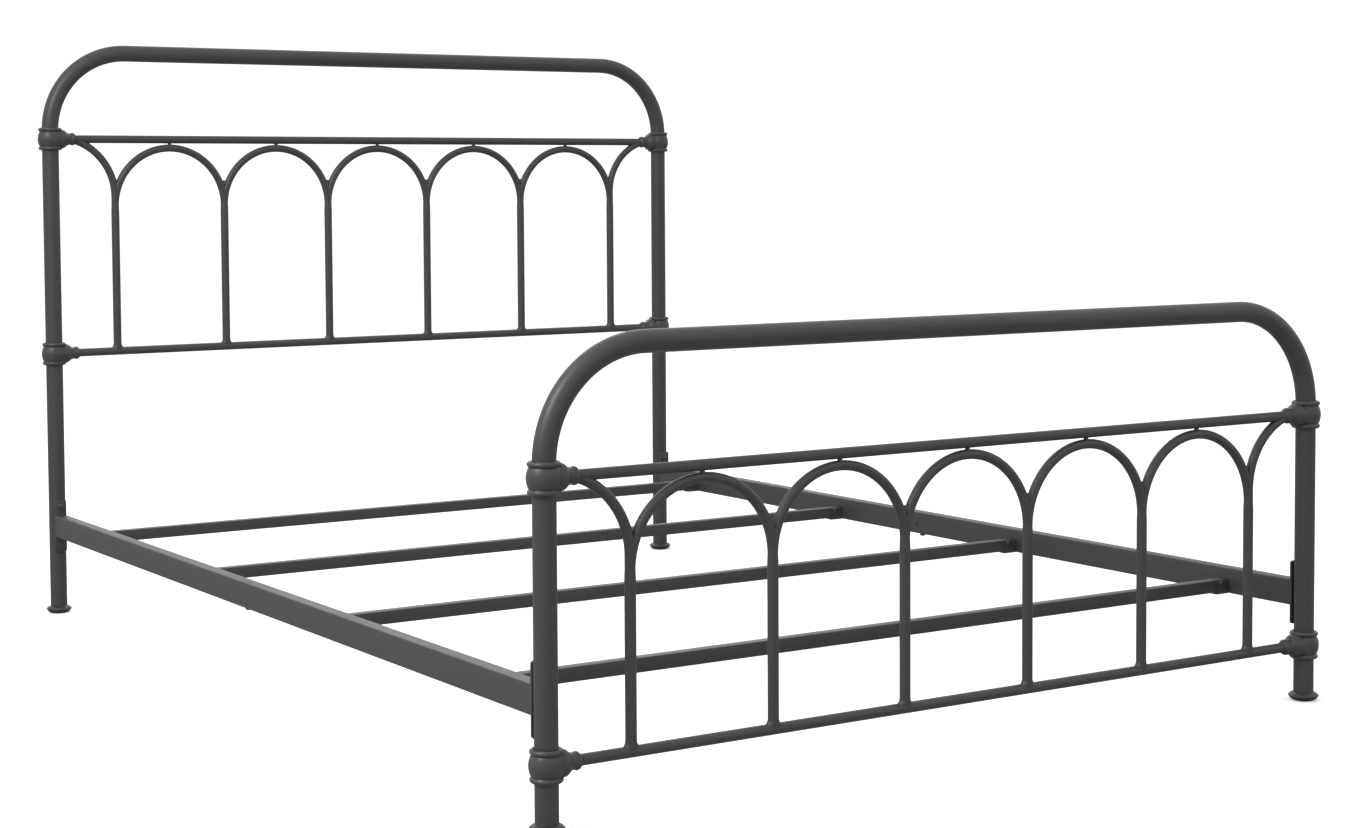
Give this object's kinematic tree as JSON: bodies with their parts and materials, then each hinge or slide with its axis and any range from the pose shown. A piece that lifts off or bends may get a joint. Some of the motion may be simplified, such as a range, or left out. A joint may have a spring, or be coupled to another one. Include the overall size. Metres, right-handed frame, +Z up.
{
  "type": "metal bed frame",
  "caption": "Double steel bed frame with bent-tube headboard and footboard, arched spindle bays, ribbed cast collars and side rails joined by cross slats.",
  "frame": {"origin": "on the floor under the middle of the bed", "axes": "+Y points to the headboard, +X across the bed to the sleeper's left, +Z up"},
  "size_m": [1.593, 2.157, 1.2211],
  "materials": {
    "powder_coat": "satin dark grey powder coat with a fine even texture",
    "cast_collar": "the same dark grey coat over cast metal, slightly rounder and softer at the edges",
    "floor_glide": "dark grey satin, turned, with a thin bright rim",
    "dark_bolt": "dark zinc plated steel, satin"
  },
  "bodies": {
    "root": {"headboard_bow_tube": "powder_coat", "headboard_upper_rail": "powder_coat", "headboard_lower_rail": "powder_coat", "headboard_spindle_1": "powder_coat", "headboard_spindle_2": "powder_coat", "headboard_spindle_3": "powder_coat", "headboard_spindle_4": "powder_coat", "headboard_spindle_5": "powder_coat", "headboard_spindle_6": "powder_coat", "headboard_arch_1": "powder_coat", "headboard_arch_2": "powder_coat", "headboard_arch_3": "powder_coat", "headboard_arch_4": "powder_coat", "headboard_arch_5": "powder_coat", "headboard_upper_collar_left": "cast_collar", "headboard_lower_collar_left": "cast_collar", "headboard_glide_left": "floor_glide", "headboard_end_arch_left": "powder_coat", "headboard_corner_bolt_left_upper": "dark_bolt", "headboard_corner_bolt_left_lower": "dark_bolt", "headboard_upper_collar_right": "cast_collar", "headboard_lower_collar_right": "cast_collar", "headboard_glide_right": "floor_glide", "headboard_end_arch_right": "powder_coat", "headboard_corner_bolt_right_upper": "dark_bolt", "headboard_corner_bolt_right_lower": "dark_bolt", "footboard_bow_tube": "powder_coat", "footboard_upper_rail": "powder_coat", "footboard_lower_rail": "powder_coat", "footboard_spindle_1": "powder_coat", "footboard_spindle_2": "powder_coat", "footboard_spindle_3": "powder_coat", "footboard_spindle_4": "powder_coat", "footboard_spindle_5": "powder_coat", "footboard_spindle_6": "powder_coat", "footboard_arch_1": "powder_coat", "footboard_arch_2": "powder_coat", "footboard_arch_3": "powder_coat", "footboard_arch_4": "powder_coat", "footboard_arch_5": "powder_coat", "footboard_upper_collar_left": "cast_collar", "footboard_lower_collar_left": "cast_collar", "footboard_glide_left": "floor_glide", "footboard_end_arch_left": "powder_coat", "footboard_corner_bolt_left_upper": "dark_bolt", "footboard_corner_bolt_left_lower": "dark_bolt", "footboard_upper_collar_right": "cast_collar", "footboard_lower_collar_right": "cast_collar", "footboard_glide_right": "floor_glide", "footboard_end_arch_right": "powder_coat", "footboard_corner_bolt_right_upper": "dark_bolt", "footboard_corner_bolt_right_lower": "dark_bolt", "side_rail_left": "powder_coat", "center_bolt_left": "dark_bolt", "side_rail_right": "powder_coat", "center_bolt_right": "dark_bolt", "cross_slat_1": "powder_coat", "cross_slat_2": "powder_coat", "cross_slat_3": "powder_coat", "cross_slat_4": "powder_coat"}
  },
  "joints": []
}
